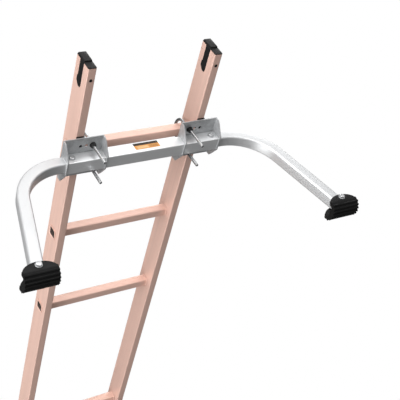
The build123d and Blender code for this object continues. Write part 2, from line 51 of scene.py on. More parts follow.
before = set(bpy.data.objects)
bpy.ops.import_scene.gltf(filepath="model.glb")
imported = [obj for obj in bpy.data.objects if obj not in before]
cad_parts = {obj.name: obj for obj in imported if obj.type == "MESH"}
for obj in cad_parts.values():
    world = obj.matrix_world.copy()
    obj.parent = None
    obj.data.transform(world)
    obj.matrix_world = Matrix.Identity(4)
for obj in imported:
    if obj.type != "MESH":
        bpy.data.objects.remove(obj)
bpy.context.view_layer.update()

MM = 0.001
SIDES = {"left": -1, "right": 1}
UP, DOWN, TO_WALL = (0, 0, 1), (0, 0, -1), (0, -1, 0)
RUNGS = [f"base_rung_{i}" for i in range(1, 8)] + [f"fly_rung_{i}" for i in range(1, 7)]


# ---- sizes and colours a user would change ----
def length(name, description, millimetres):
    """A distance property, given in millimetres and kept in metres."""
    return FloatProperty(name=name, description=description, default=millimetres * MM,
                         min=0.0, subtype="DISTANCE", unit="LENGTH", precision=5)


def colour(name, description, rgb):
    """A colour property, as linear red, green and blue."""
    return FloatVectorProperty(name=name, description=description, default=rgb, size=3,
                               min=0.0, max=1.0, subtype="COLOR")


def degrees(name, description, value):
    """An angle property, given in degrees and kept in radians."""
    return FloatProperty(name=name, description=description, default=math.radians(value),
                         subtype="ANGLE")


class LadderSizes(PropertyGroup):
    """Sizes of the ladder's own pieces."""

    rung_depth: length("Rung depth", "Front to back size of a rung", 28.2)
    rung_height: length("Rung height", "Height of a rung, without its tread ribs", 24.4)
    rung_corner: length("Rung corner", "Corner radius of a rung", 3.5)
    rung_wall: length("Rung wall", "Wall thickness of a rung", 2.0)
    rung_tilt: degrees("Rung tilt", "Turn of the tread about the rung", 4.4)
    tread_ribs: IntProperty(name="Tread ribs", description="Ribs along each tread",
                            default=7, min=1)
    tread_rib: length("Tread rib", "Height of a tread rib", 0.6)
    bead: length("Bead", "Height of the swaged bead inside each rail", 3.0)
    flare: length("Flare", "Height of the flared rim outside each rail", 5.6)
    rail_width: length("Rail width", "Rail section across the ladder", 22.8)
    rail_depth: length("Rail depth", "Rail section front to back", 66.8)
    clear_width: length("Clear width", "Width between the rails", 329.4)
    cap_cover: length("Cap cover", "Thickness of a fly cap over the rail's end", 2.6)
    cap_step: length("Cap step", "Height of a fly cap's raised part", 6.2)
    spring_radius: length("Spring radius", "Mean radius of a lock spring", 4.4)
    spring_wire: length("Spring wire", "Wire radius of a lock spring", 0.8)
    spring_turns: FloatProperty(name="Spring turns", description="Turns of a lock spring",
                                default=6.5, min=1.0)


class StandoffSizes(PropertyGroup):
    """Sizes of the wall stand-off's pieces."""

    bar: length("Bar", "Outer size of the square crossbar", 36.0)
    bar_wall: length("Bar wall", "Wall thickness of the crossbar", 2.0)
    bar_corner: length("Bar corner", "Corner radius of the crossbar", 2.5)
    arm: length("Arm", "Outer size of the square arm tube", 31.6)
    arm_wall: length("Arm wall", "Wall thickness of the arm tube", 2.0)
    arm_corner: length("Arm corner", "Corner radius of the arm tube", 5.0)
    arm_tuck: length("Arm tuck", "Length of the arm inside the crossbar", 118.0)
    arm_straight: length("Arm straight", "Straight length outside the crossbar", 14.0)
    arm_bend: length("Arm bend", "Centre-line radius of the arm's bend", 135.0)
    arm_turn: degrees("Arm turn", "Angle of the arm's bend", 76.5)
    arm_run: length("Arm run", "Straight length from the bend to the pad's bolt", 225.0)
    arm_tail: length("Arm tail", "Length of the arm past the pad's bolt", 9.0)
    rod: length("Rod radius", "Radius of the U bolt's rod", 4.0)
    thread: length("Thread", "Length of thread on each leg of a U bolt", 62.0)
    pitch: length("Thread pitch", "Distance between thread crests", 1.25)
    pad_shoulder: length("Pad shoulder", "Start of the ear's curve ahead of its bolt", 13.0)
    pad_floor: length("Pad floor", "Floor of the pad's jaw ahead of its bolt", 18.6)
    pad_jaw: length("Pad jaw", "Half the height of the pad's jaw", 16.4)
    pad_roll: length("Pad roll", "Radius of the pad's rounded wall face", 29.0)
    pad_rib: length("Pad rib", "Height of the ribs on the pad's face", 3.0)
    pad_rib_step: degrees("Pad rib step", "Angle between ribs", 18.0)
    pad_ribs: IntProperty(name="Pad ribs", description="Ribs on each pad", default=7, min=1)


class LadderColours(PropertyGroup):
    """Base colours of the finishes."""

    rose: colour("Rose", "Tinted aluminium of rails and rungs", (0.78, 0.525, 0.44))
    aluminium: colour("Aluminium", "Bare drawn tube", (0.86, 0.87, 0.88))
    zinc: colour("Zinc", "Plated sheet steel", (0.50, 0.51, 0.52))
    bright: colour("Bright zinc", "Plated bolts, nuts and rivets", (0.78, 0.79, 0.80))
    cast: colour("Cast", "Cast lock pawls", (0.42, 0.42, 0.43))
    black: colour("Black", "Moulded end caps", (0.007, 0.007, 0.007))
    rubber: colour("Rubber", "Pads, strips and soles", (0.006, 0.006, 0.006))
    orange: colour("Label field", "Field of the label on the crossbar", (0.60, 0.27, 0.07))


# ---- shader arithmetic ----
def maths(operation, swapped=False):
    """An operator that adds one Math node. Swapped, it's the reflected form."""
    def apply(wire, *other):
        return wire.math(operation, *(other + (wire,) if swapped else (wire,) + other))
    return apply


class Wire:
    """One output of a tree's nodes. Arithmetic on it adds Math nodes."""

    def __init__(self, finish, socket):
        self.finish, self.socket = finish, socket

    def math(self, operation, *values):
        return self.finish.wire("Math", {"operation": operation}, dict(enumerate(values)))

    __add__ = __radd__ = maths("ADD")
    __mul__ = __rmul__ = maths("MULTIPLY")
    __sub__, __rsub__ = maths("SUBTRACT"), maths("SUBTRACT", swapped=True)
    __truediv__, __rtruediv__ = maths("DIVIDE"), maths("DIVIDE", swapped=True)
    __gt__, __lt__ = maths("GREATER_THAN"), maths("LESS_THAN")
    __abs__ = maths("ABSOLUTE")

    def between(self, low, high, top=1.0):
        """0 up to low, top from high on, straight between them."""
        return self.finish.wire("MapRange", {"clamp": True}, {
            "Value": self, "From Min": low, "From Max": high, "To Max": top})


class Finish:
    """The nodes of a new material, or of a world given as holder."""

    def __init__(self, name, holder=None):
        self.holder = holder or bpy.data.materials.new(name)
        self.holder.use_nodes = True
        self.tree = self.holder.node_tree
        self.tree.nodes.clear()

    def node(self, kind, settings=None, values=None):
        """Adds one node: its settings first, then the values or links of its sockets."""
        made = self.tree.nodes.new("ShaderNode" + kind)
        for key, value in (settings or {}).items():
            setattr(made, key, value)
        for key, value in (values or {}).items():
            socket = made.inputs[key]
            if isinstance(value, Wire):
                self.tree.links.new(value.socket, socket)
            elif socket.type == "RGBA":
                socket.default_value = (*value, 1.0)
            else:
                socket.default_value = value
        return made

    def wire(self, kind, settings=None, values=None, output=0):
        """Adds one node and gives one of its outputs."""
        return Wire(self, self.node(kind, settings, values).outputs[output])

    def place(self, scale=(1, 1, 1)):
        """The point on the piece, in metres, stretched by scale."""
        at = self.wire("TexCoord", output="Object")
        return self.wire("Mapping", values={"Vector": at, "Scale": scale})

    def noise(self, scale, detail=2.0, roughness=0.5):
        """Cloudy noise from 0 to 1: scale waves to the metre, or a number for each axis."""
        scale = scale if isinstance(scale, tuple) else (scale,) * 3
        return self.wire("TexNoise", output="Fac", values={
            "Vector": self.place(scale), "Scale": 1.0, "Detail": detail, "Roughness": roughness})

    def mix(self, share, first, second):
        """One colour turning into another."""
        return self.wire("Mix", {"data_type": "RGBA"}, {0: share, 6: first, 7: second}, 2)

    def bump(self, height, distance, strength):
        """A normal from a height in 0 to 1, of that many metres."""
        return self.wire("Bump", values={
            "Height": height, "Distance": distance, "Strength": strength})

    def end(self, shader, output="OutputMaterial"):
        """Joins a shader to the output."""
        self.node(output, {}, {0: shader})
        return self.holder

    def surface(self, **values):
        """Ends the material in one Principled shader."""
        named = {key.replace("_", " "): value for key, value in values.items()}
        return self.end(self.wire("BsdfPrincipled", values=named))


def shade(rgb, factor):
    """A colour made lighter or darker, kept below white."""
    return tuple(min(1.0, c * factor) for c in rgb)


# Waves to the metre across and along drawn metal, for its fine lines and its broad bands.
FINE_LINES, BROAD_BANDS = (420.0, 2.5), (70.0, 1.2)
LINE_DEPTH, PLATING_DEPTH, SKIN_DEPTH, PEBBLE_DEPTH = 0.12 * MM, 0.2 * MM, 0.15 * MM, 0.3 * MM
BLACK_GLOSS = 0.16


def drawn_metal(name, rgb, along, metallic, roughness, contrast=0.10):
    """Drawn or extruded metal: fine die lines along the named axes, faint clouding and handling
    marks. Bent tube runs along two axes, so its lines are only level bands."""
    f = Finish(name)
    fine, broad = (tuple(waves[axis in along] for axis in "xyz")
                   for waves in (FINE_LINES, BROAD_BANDS))
    lines = f.noise(fine, 3.0, 0.6)
    bands = f.noise(broad)
    clouds = f.noise(9.0, 4.0, 0.6)
    marks = f.noise(55.0, 5.0, 0.7).between(0.60, 0.78)
    tone = (lines * 0.45 + bands * 0.35 + clouds * 0.20).between(0.30, 0.70)
    base = f.mix(tone, shade(rgb, 1 - contrast), shade(rgb, 1 + contrast * 0.6))
    base = f.mix(marks * 0.22, base, shade(rgb, 0.72))
    rough = roughness - 0.05 + tone * 0.09 + marks * 0.12
    return f.surface(Base_Color=base, Roughness=rough, Metallic=metallic,
                     Normal=f.bump(lines, LINE_DEPTH, 0.6))


def plated_metal(name, rgb, roughness, metallic=0.9, spangle=0.16, scale=160.0):
    """Zinc plating: soft crystal patches, cloudy dulling and small scratches."""
    f = Finish(name)
    crystals = f.wire("TexVoronoi", output="Color", values={
        "Vector": f.place((scale,) * 3), "Scale": 1.0})
    patch = f.wire("SeparateColor", values={0: crystals})
    clouds = f.noise(22.0, 5.0, 0.65)
    scratch = f.noise((900.0, 60.0, 240.0)).between(0.66, 0.74)
    tone = (patch * 0.4 + clouds * 0.6).between(0.25, 0.75)
    base = f.mix(tone, shade(rgb, 1 - spangle), shade(rgb, 1 + spangle * 0.5))
    base = f.mix(scratch * 0.25, base, shade(rgb, 1.25))
    rough = roughness - 0.06 + clouds * 0.12
    return f.surface(Base_Color=base, Roughness=rough, Metallic=metallic,
                     Normal=f.bump(clouds, PLATING_DEPTH, 0.3))


def moulded_black(name, rgb, roughness, grain, dust):
    """Moulded plastic or rubber: fine grain, dull patches and a little dust."""
    f = Finish(name)
    skin = f.noise(grain, 3.0, 0.6)
    clouds = f.noise(35.0, 4.0, 0.6)
    dusty = clouds.between(0.55, 0.80) * dust
    base = f.mix(dusty, rgb, (0.10, 0.095, 0.09))
    rough = roughness + clouds * 0.14 - 0.07
    return f.surface(Base_Color=base, Roughness=rough, Specular_IOR_Level=BLACK_GLOSS,
                     Normal=f.bump(skin, SKIN_DEPTH, 0.5))


def cast_metal(name, rgb):
    """Cast zinc alloy: pebbled skin, dark in its pits."""
    f = Finish(name)
    pebble = f.noise(700.0, 3.0, 0.6)
    clouds = f.noise(60.0, 4.0, 0.6)
    base = f.mix(pebble.between(0.3, 0.6), shade(rgb, 0.72), shade(rgb, 1.1))
    return f.surface(Base_Color=base, Roughness=0.48 + clouds * 0.15, Metallic=0.8,
                     Normal=f.bump(pebble, PEBBLE_DEPTH, 0.7))


def label_print(name, field, centre, size):
    """A printed label: dark heading, coloured field, blank panel and plain ruled lines. Places
    on it run from -0.5 to 0.5 of its size each way."""
    f = Finish(name)
    at = f.node("SeparateXYZ", {}, {0: f.place()})
    across, up = ((Wire(f, at.outputs[i]) - centre[i]) / size[i] for i in (0, 1))
    ink, paper, dirt = (0.012, 0.010, 0.008), (0.66, 0.50, 0.28), (0.5, 0.45, 0.4)
    row = abs(up + 0.20) < 0.20
    panel = (abs(across + 0.18) < 0.22) * row
    ruling = up * 9.0
    lines = (abs(across - 0.26) < 0.17) * row * (ruling.math("FRACT", ruling) > 0.55)
    speck = f.noise(260.0, 4.0, 0.6).between(0.45, 0.9)
    base = f.mix(lines * 0.7, field, ink)
    base = f.mix(panel * 0.55, base, paper)
    base = f.mix((up > 0.12) * 0.98, base, ink)
    base = f.mix(speck * 0.15, base, dirt)
    return f.surface(Base_Color=base, Roughness=0.45 + speck * 0.2, Specular_IOR_Level=0.15)


finishes = {}


def make_finishes(colours):
    """All finishes, once, by name."""
    rose, tube, zinc, bright, cast, black, rubber = (tuple(getattr(colours, key)) for key in (
        "rose", "aluminium", "zinc", "bright", "cast", "black", "rubber"))
    recipes = {
        # drawn metal: colour, axes of its lines, metallic, roughness, contrast
        "rail_rose": (drawn_metal, rose, "z", 0.25, 0.42),
        "rung_rose": (drawn_metal, rose, "x", 0.25, 0.44),
        "bar_aluminium": (drawn_metal, shade(tube, 0.97), "x", 0.68, 0.36, 0.06),
        "arm_aluminium": (drawn_metal, shade(tube, 0.72), "xy", 0.6, 0.40, 0.05),
        "shoe_aluminium": (drawn_metal, shade(tube, 0.85), "y", 0.9, 0.38),
        # painted shade: near black rose for the inside of each rung, standing in for the shade in
        # its hollow
        "hollow_dark": (drawn_metal, shade(rose, 0.07), "x", 0.0, 0.7),
        # plated metal: colour, roughness, metallic, spangle, crystals to the metre
        "bracket_zinc": (plated_metal, shade(zinc, 0.92), 0.42, 0.5),
        "guide_steel": (plated_metal, shade(zinc, 1.3), 0.40),
        "fastener_zinc": (plated_metal, shade(bright, 0.76), 0.30, 0.85, 0.10, 400.0),
        "u_bolt_zinc": (plated_metal, shade(bright, 0.66), 0.22, 1.0, 0.08, 500.0),
        # painted shade: the clamp nuts and washers are near black, standing in for the shadow
        # round each U bolt leg at the bracket plate
        "clamp_nut_dark": (plated_metal, shade(bright, 0.05), 0.34, 0.6, 0.2, 400.0),
        "rivet_steel": (plated_metal, shade(bright, 0.85), 0.30, 0.95, 0.10, 500.0),
        "spring_steel": (plated_metal, shade(bright, 0.7), 0.30, 0.95, 0.08, 600.0),
        "pawl_cast": (cast_metal, cast),
        # moulded black: colour, roughness, grains to the metre, dust
        "cap_black": (moulded_black, shade(black, 1.5), 0.46, 900.0, 0.05),
        "pad_rubber": (moulded_black, rubber, 0.50, 500.0, 0.04),
        "sole_rubber": (moulded_black, rubber, 0.62, 450.0, 0.22),
    }
    for name, (maker, *values) in recipes.items():
        finishes[name] = maker(name, *values)


# ---- shells: surfaces worked out as whole arrays ----
def grid_shell(points, wrap_rows=False):
    """A closed skin over rows of closed loops: each quad joins neighbours on two rows, and the
    first and last loops are filled flat unless the rows wrap round into a ring."""
    rows, cols = points.shape[:2]
    index = np.arange(rows * cols).reshape(rows, cols)
    near = index if wrap_rows else index[:-1]
    far = np.roll(index, -1, 0) if wrap_rows else index[1:]
    quads = np.stack([near, np.roll(near, -1, 1), np.roll(far, -1, 1), far], -1).reshape(-1, 4)
    faces = quads.tolist()
    if not wrap_rows:
        faces += [index[0][::-1].tolist(), index[-1].tolist()]
    return points.reshape(-1, 3), faces


def outline_normals(loop):
    """Outward unit normals of a closed outline that runs anticlockwise."""
    step = np.roll(loop, -1, -2) - np.roll(loop, 1, -2)
    normal = np.stack([step[..., 1], -step[..., 0]], -1)
    return normal / np.maximum(np.linalg.norm(normal, axis=-1, keepdims=True), 1e-12)


def soft_outline(corners, radius, steps=6):
    """An outline whose corners are parabolic arcs: each point is a blend of the corner and two
    points the radius away along its edges."""
    corners = np.asarray(corners, float)
    radius = np.broadcast_to(np.asarray(radius, float), len(corners))[:, None]
    before, after = np.roll(corners, 1, 0) - corners, np.roll(corners, -1, 0) - corners
    size_b = np.linalg.norm(before, axis=1, keepdims=True)
    size_a = np.linalg.norm(after, axis=1, keepdims=True)
    start = corners + before / size_b * np.minimum(radius, size_b * 0.49)
    end = corners + after / size_a * np.minimum(radius, size_a * 0.49)
    t = np.linspace(0, 1, steps)[None, :, None]
    curve = ((1 - t) ** 2 * start[:, None] + 2 * t * (1 - t) * corners[:, None]
             + t**2 * end[:, None])
    return curve.reshape(-1, 2)


def rounded_rectangle(width, height, radius, steps=7):
    """A rectangle with round corners: corner centres plus a quarter circle each."""
    angle = np.linspace(0, math.pi / 2, steps)[None, :] + np.arange(4)[:, None] * math.pi / 2
    x = np.array([1, -1, -1, 1])[:, None] * (width / 2 - radius) + radius * np.cos(angle)
    y = np.array([1, 1, -1, -1])[:, None] * (height / 2 - radius) + radius * np.sin(angle)
    return np.stack([x, y], -1).reshape(-1, 2)


def plate_shell(outline, low, high, edge, place, steps=4):
    """A flat plate with rounded rims: the outline, drawn in along its normals by a quarter
    circle at both faces. place turns (a, b, height) arrays into points."""
    edge = min(edge, (high - low) / 2 * 0.98)
    angle = np.linspace(0, math.pi / 2, steps)
    inset = np.concatenate([edge * (1 - np.sin(angle)), edge * (1 - np.sin(angle))[::-1]])
    level = np.concatenate([low + edge * (1 - np.cos(angle)),
                            high - edge * (1 - np.cos(angle))[::-1]])
    loops = outline[None] - outline_normals(outline)[None] * inset[:, None, None]
    heights = np.broadcast_to(level[:, None], loops.shape[:2])
    return grid_shell(place(loops[..., 0], loops[..., 1], heights))


def upward(x, y):
    """Places an outline in plan at (x, y), its height along Z."""
    return lambda a, b, h: np.stack([x + a, y + b, h], -1)


def sideways(x, y, z):
    """Places an outline given in (y, z), its thickness along X."""
    return lambda a, b, h: np.stack([x + h, y + a, z + b], -1)


def swept_shell(centres, rights, ups, sections, wrap_rows=False):
    """Sections carried along a path: centre plus a times right plus b times up. Right and up
    are a row for each centre, or one direction for them all."""
    sections = np.broadcast_to(sections, (len(centres),) + sections.shape[-2:])
    rights, ups = (np.broadcast_to(rows, centres.shape) for rows in (rights, ups))
    points = (centres[:, None] + sections[..., :1] * rights[:, None]
              + sections[..., 1:] * ups[:, None])
    return grid_shell(points, wrap_rows)


def hollow_shell(centres, rights, ups, outer, inner, rim):
    """A tube: the outer section out along the path, the inner one back, with broken rims."""
    order = np.r_[0, 0:len(centres), len(centres) - 1]
    path = centres[order]
    for row, step in ((1, centres[1] - centres[0]), (-2, centres[-2] - centres[-1])):
        path[row] += step / np.linalg.norm(step) * rim
    full, back = (np.repeat(section[None], len(path), 0) for section in (outer, inner))
    full[[0, -1]] -= outline_normals(outer) * rim
    back[[0, -1]] += outline_normals(inner) * rim * 0.5
    rights, ups = (np.broadcast_to(rows, centres.shape)[order] for rows in (rights, ups))
    path, rights, ups = (np.concatenate([rows, rows[::-1]]) for rows in (path, rights, ups))
    return swept_shell(path, rights, ups, np.concatenate([full, back]), True)


def axis_frame(axis):
    """Two directions square to an axis."""
    axis = np.asarray(axis, float) / np.linalg.norm(axis)
    helper = np.array([1.0, 0, 0]) if abs(axis[0]) < 0.9 else np.array([0, 1.0, 0])
    right = np.cross(helper, axis)
    right /= np.linalg.norm(right)
    return axis, right, np.cross(axis, right)


NUT_CROWN, HEAD_CROWN = 0.97, 0.94  # where the corners' cone starts, as a share of half the flats


def turned_shell(profile, origin, axis, flats=0.0, steps=48, ring=False):
    """A turned shape: profile rows of radius, height and, where not 0, share and drop. Share
    mixes the circle with a hexagon of that many metres across flats, whose corners stand out by
    one over the cosine of the angle from the flat's middle. Drop moves the corners in height, by
    the cone's slope."""
    axis, right, up = axis_frame(axis)
    angle = np.arange(steps) * 2 * math.pi / steps
    from_flat = np.mod(angle, math.pi / 3) - math.pi / 6
    hexagon = flats / 2 / np.cos(from_flat)
    profile = np.array([(*row, 0, 0)[:4] for row in profile], float)
    share = profile[:, 2:3]
    radius = profile[:, :1] * (1 - share) + hexagon[None] * share
    slope = np.maximum(hexagon - flats / 2 * NUT_CROWN, 0) * math.tan(math.radians(30))
    height = profile[:, 1:2] + profile[:, 3:4] * slope[None]
    points = (np.asarray(origin)[None, None] + height[..., None] * axis
              + (radius * np.cos(angle))[..., None] * right
              + (radius * np.sin(angle))[..., None] * up)
    return grid_shell(points, ring)


def washer_shell(origin, axis, outer, bore, thick):
    """A flat ring with broken edges."""
    e = thick * 0.18
    rows = [(bore, 0), (outer - e, 0), (outer, e), (outer, thick - e), (outer - e, thick),
            (bore, thick)]
    return turned_shell(rows, origin, axis, ring=True)


def nut_shell(origin, axis, flats, bore, height):
    """A hexagon nut, its corners cut back by a cone at both faces, with a countersunk bore."""
    crown, sink, widening = flats / 2 * NUT_CROWN, 0.6 * MM, 0.5 * MM
    rows = [(bore, sink), (bore + widening, 0), (crown, 0), (0, 0, 1, 1), (0, height, 1, -1),
            (crown, height), (bore + widening, height), (bore, height - sink)]
    return turned_shell(rows, origin, axis, flats, ring=True)


def head_shell(origin, axis, flats, height):
    """A hexagon bolt head: flat under, a cone on its top corners and a shallow dish."""
    crown, dish, tiny = flats / 2 * HEAD_CROWN, 0.5 * MM, 0.1 * MM
    rows = [(tiny, 0), (crown, 0), (0, 0, 1), (0, height, 1, -1), (crown, height),
            (crown * 0.72, height), (crown * 0.62, height - dish), (tiny, height - dish)]
    return turned_shell(rows, origin, axis, flats)


THREAD_DEPTH = 0.15 * MM


def thread_section(along, thread_from, thread_to, radius, pitch, steps=20):
    """Round sections whose radius falls by a triangle wave of along/pitch minus the turn, so
    that the valleys make a helix."""
    turn = np.arange(steps) / steps
    phase = np.mod(along[:, None] / pitch - turn[None], 1.0)
    valley = np.abs(phase * 2 - 1)
    cut = ((along >= thread_from) & (along <= thread_to))[:, None]
    r = radius - THREAD_DEPTH * valley * cut
    angle = 2 * math.pi * turn
    return np.stack([r * np.cos(angle), r * np.sin(angle)], -1)


def rod_shell(start, end, radius, pitch, threaded):
    """A straight threaded rod with both ends chamfered."""
    axis, right, up = axis_frame(end - start)
    span, chamfer = np.linalg.norm(end - start), 0.8 * MM
    along = np.concatenate([[0.0], np.arange(chamfer, span - chamfer, pitch / 6),
                            [span - chamfer, span]])
    sections = thread_section(along, span - threaded, span, radius, pitch)
    sections[[0, -1]] *= 1 - chamfer / radius
    return swept_shell(start + along[:, None] * axis, right, up, sections)


# ---- from shells to pieces ----
SHARP, SOFTENED_SHARP = 40.0, 35.0  # degrees past which an edge is shaded sharp


def skin(name, shells):
    """Several shells as one mesh."""
    counts = np.cumsum([0] + [len(points) for points, _ in shells])
    faces = [[i + shift for i in face] for (_, fs), shift in zip(shells, counts) for face in fs]
    mesh = bpy.data.meshes.new(name)
    mesh.from_pydata(np.concatenate([points for points, _ in shells]).tolist(), [], faces)
    return mesh


def piece(node, word, shells, finish, body="fly_section", sharp=SHARP):
    """One finished object of closed shells that rides on a body and stands for a CAD node. Its
    name is the node's with a word for its form. Most pieces ride on the fly section."""
    name = f"{node}_{word}"
    return settle(name, skin(name, shells), finish, body, node, sharp)


def placed(name, data):
    """A new object, in the scene."""
    made = bpy.data.objects.new(name, data)
    bpy.context.scene.collection.objects.link(made)
    return made


def settle(name, mesh, finish, body, node=None, sharp=SHARP):
    """Makes normals agree, shades the mesh, gives it its finish and body and hides the CAD node
    that it stands for.
    """
    bm = bmesh.new()
    bm.from_mesh(mesh)
    bmesh.ops.recalc_face_normals(bm, faces=bm.faces)
    bm.to_mesh(mesh)
    bm.free()
    mesh.shade_smooth()
    mesh.set_sharp_from_angle(angle=math.radians(sharp))
    mesh.materials.clear()
    mesh.materials.append(finishes[finish])
    made = placed(name, mesh)
    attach(made, body)
    if node:
        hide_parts(node)
    return made


def on_outer_fold(edge, low, high):
    """Whether an edge is a bracket's upright fold: at the plate's back and at either side."""
    def near(first, second):
        return abs(first - second) < 0.01 * MM

    a, b = (vertex.co for vertex in edge.verts)
    return (abs(a.z - b.z) > 20 * MM and near(a.y, b.y)
            and (near(a.y, high.y) or near(b.y, high.y))
            and (near(a.x, low.x) or near(a.x, high.x)))


def softened(node, word, finish, body="fly_section", width=0.5 * MM, fold=0.0):
    """A CAD node's mesh, merged and cleaned, with its hard edges broken by a small bevel and,
    on a bent bracket, its outer folds rounded to a radius."""
    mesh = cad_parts[node].data.copy()
    bm = bmesh.new()
    bm.from_mesh(mesh)
    bmesh.ops.remove_doubles(bm, verts=bm.verts, dist=0.002 * MM)
    bmesh.ops.dissolve_limit(bm, angle_limit=math.radians(1.0), verts=bm.verts, edges=bm.edges)
    if fold:
        low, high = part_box(node)
        folds = [edge for edge in bm.edges if on_outer_fold(edge, low, high)]
        bmesh.ops.bevel(bm, geom=folds, offset=fold, segments=5, profile=0.5, affect="EDGES",
                        clamp_overlap=True)
    bm.to_mesh(mesh)
    bm.free()
    made = settle(f"{node}_{word}", mesh, finish, body, node, SOFTENED_SHARP)
    bevel = made.modifiers.new("Broken edges", "BEVEL")
    bevel.width, bevel.segments, bevel.limit_method = width, 2, "ANGLE"
    bevel.angle_limit = math.radians(SOFTENED_SHARP)
    bevel.harden_normals = True


def dress(finish, *nodes):
    """Gives CAD nodes whose shape is right their finish."""
    for node in nodes:
        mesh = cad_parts[node].data
        mesh.materials.clear()
        mesh.materials.append(finishes[finish])


def box_of(node):
    """A CAD node's lowest corner, highest corner and middle."""
    low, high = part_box(node)
    return low, high, (low + high) / 2


# ---- ladder shapes ----
def rung_shell(sizes, node):
    """A rung. Its outline is a rounded rectangle with a row of raised cosine ribs on its tread.
    Along X the outline grows by half an ellipse at each bead and by a quarter ellipse at each
    flared rim, and the wall's inside follows the flare back in."""
    depth, height, corner = sizes.rung_depth, sizes.rung_height, sizes.rung_corner
    outline = rounded_rectangle(depth, height, corner, 6)
    normal = outline_normals(outline)
    tread = np.linspace(depth / 2 - corner, -depth / 2 + corner, 6 * sizes.tread_ribs + 2)[1:-1]
    quarter, level = len(outline) // 4, np.full_like(tread, height / 2)
    outline, normal = (
        np.concatenate([rows[:quarter], np.stack(flat, -1), rows[quarter:]])
        for rows, flat in ((outline, (tread, level)), (normal, (tread * 0, tread * 0 + 1))))
    span = depth - 3 * corner
    spacing = span / (sizes.tread_ribs - 1)
    ridge = np.cos(2 * math.pi * (outline[:, 0] + span / 2) / spacing) * 0.5 + 0.5
    on_tread = outline[:, 1] >= height / 2 - 1e-9
    ridge *= (np.abs(outline[:, 0]) < span / 2 + spacing / 2) & on_tread
    face, out = sizes.clear_width / 2, sizes.clear_width / 2 + sizes.rail_width
    lip, bead_half = 2.0 * MM, 1.5 * MM
    rib_end, fade = face - 9 * MM, 3 * MM  # the tread's ribs fade out just short of each rail
    bead_x = face - bead_half + np.cos(np.linspace(math.pi, 0, 9)) * bead_half
    half = np.concatenate([[rib_end - fade, rib_end, rib_end + fade], bead_x,
                           [face + 4 * MM, out - lip], out + np.linspace(0, 1, 7) * lip])
    x = np.concatenate([-half[::-1], np.linspace(-1, 1, 9)[1:-1] * (face - 14 * MM), half])
    away = np.abs(x)
    bead = np.sqrt(np.maximum(0, 1 - ((away - face + bead_half) / bead_half) ** 2)) * sizes.bead
    flare = np.sqrt(np.maximum(0, 1 - ((out + lip - away) / lip - 0.5).clip(0, 1) ** 2 * 4))
    flare = np.where(away > out - 1e-9, flare * sizes.flare, 0.0)
    flare -= np.where(away > out + lip * 0.99, 0.5 * MM, 0.0)
    ribbed = np.clip((rib_end - away) / fade, 0, 1)
    grow = np.maximum(bead, flare)[:, None] + ribbed[:, None] * ridge[None] * sizes.tread_rib
    outer = outline[None] + normal[None] * grow[..., None]
    mouth = np.clip((away - out + 3 * MM) / (3 * MM + lip), 0, 1) ** 2 * sizes.flare * 0.72
    inner = outline[None] + normal[None] * (mouth - sizes.rung_wall)[:, None, None]
    few = np.r_[0:6, len(x) // 2, len(x) - 6:len(x)]
    sections = np.concatenate([outer, inner[few][::-1]])
    stations = np.concatenate([x, x[few][::-1]])
    c, s = math.cos(sizes.rung_tilt), math.sin(sizes.rung_tilt)
    y = sections[..., 0] * c + sections[..., 1] * s
    z = -sections[..., 0] * s + sections[..., 1] * c
    xs = np.broadcast_to(stations[:, None], y.shape)
    return grid_shell(np.stack([xs, y, z], -1) + np.array(box_of(node)[2]), True)


def paint_rung_inside_shade(mesh, middle, sizes):
    """Paints shade inside a rung: its inward faces, chosen by each face's place and facing, get a
    second, dark finish that stands in for the shade in the hollow.
    """
    centres, normals = (np.zeros((len(mesh.polygons), 3)) for _ in range(2))
    mesh.polygons.foreach_get("center", centres.ravel())
    mesh.polygons.foreach_get("normal", normals.ravel())
    inward = ((centres - middle) * normals)[:, 1:].sum(1) < 0
    level = np.abs(normals[:, 0]) < 0.5
    near = np.abs(centres[:, 0]) < sizes.clear_width / 2 + sizes.rail_width
    mesh.materials.append(finishes["hollow_dark"])
    mesh.polygons.foreach_set("material_index", (inward & level & near).astype(np.int32))


RAIL_CORNER, PLUG_FIT = 3 * MM, 2.25 * MM
# A fly cap's tongue, corner by corner: Y, Z and corner radius in millimetres.
TONGUE = [(12, -46, 0.8), (15, -46, 0.8), (15, -60, 2), (4, -71, 2), (-7, -71, 2),
          (-9, -64, 2.2), (-9, 1, 2), (12, 1, 1)]


def rail_outline(sizes, shrink=0.0):
    """A rail's section as a rounded rectangle, made smaller all round by shrink."""
    return rounded_rectangle(sizes.rail_width - 2 * shrink, sizes.rail_depth - 2 * shrink,
                             RAIL_CORNER - min(shrink, RAIL_CORNER / 2))


def fly_cap_shells(sizes, node):
    """A fly cap: rounded cover, raised step, plug inside the rail and a tongue on each side."""
    low, high, middle = box_of(node)
    top = high.z - sizes.cap_step
    place = upward(middle.x, middle.y)
    wide, deep, proud = sizes.rail_width / 2, sizes.rail_depth / 2, 0.6 * MM
    left, right, front, back = -wide + 1 * MM, wide - 1 * MM, -7 * MM, deep - 2 * MM
    step = soft_outline([(left, front), (right, front), (right, back), (left, back)], 2.2 * MM)
    corners = np.array(TONGUE) * MM
    tongue = soft_outline(corners[:, :2], corners[:, 2], 4)[::-1]
    return [
        plate_shell(rail_outline(sizes), top + 0.02 * MM, top + sizes.cap_cover, 1.1 * MM, place),
        plate_shell(step, top + 1 * MM, top + sizes.cap_step, 1.4 * MM, place),
        plate_shell(rail_outline(sizes, PLUG_FIT), low.z, top + 1 * MM, 0.5 * MM, place),
        plate_shell(tongue, -wide - proud, wide + proud, 0.5 * MM,
                    sideways(middle.x, middle.y, top)),
    ]


def base_cap_shells(sizes, node):
    """A base cap: a rounded cover and the plug below it."""
    low, high, middle = box_of(node)
    place = upward(middle.x, middle.y)
    return [plate_shell(rail_outline(sizes), high.z - 4 * MM, high.z, 1.3 * MM, place),
            plate_shell(rail_outline(sizes, PLUG_FIT), low.z, high.z - 3 * MM, 0.5 * MM, place)]


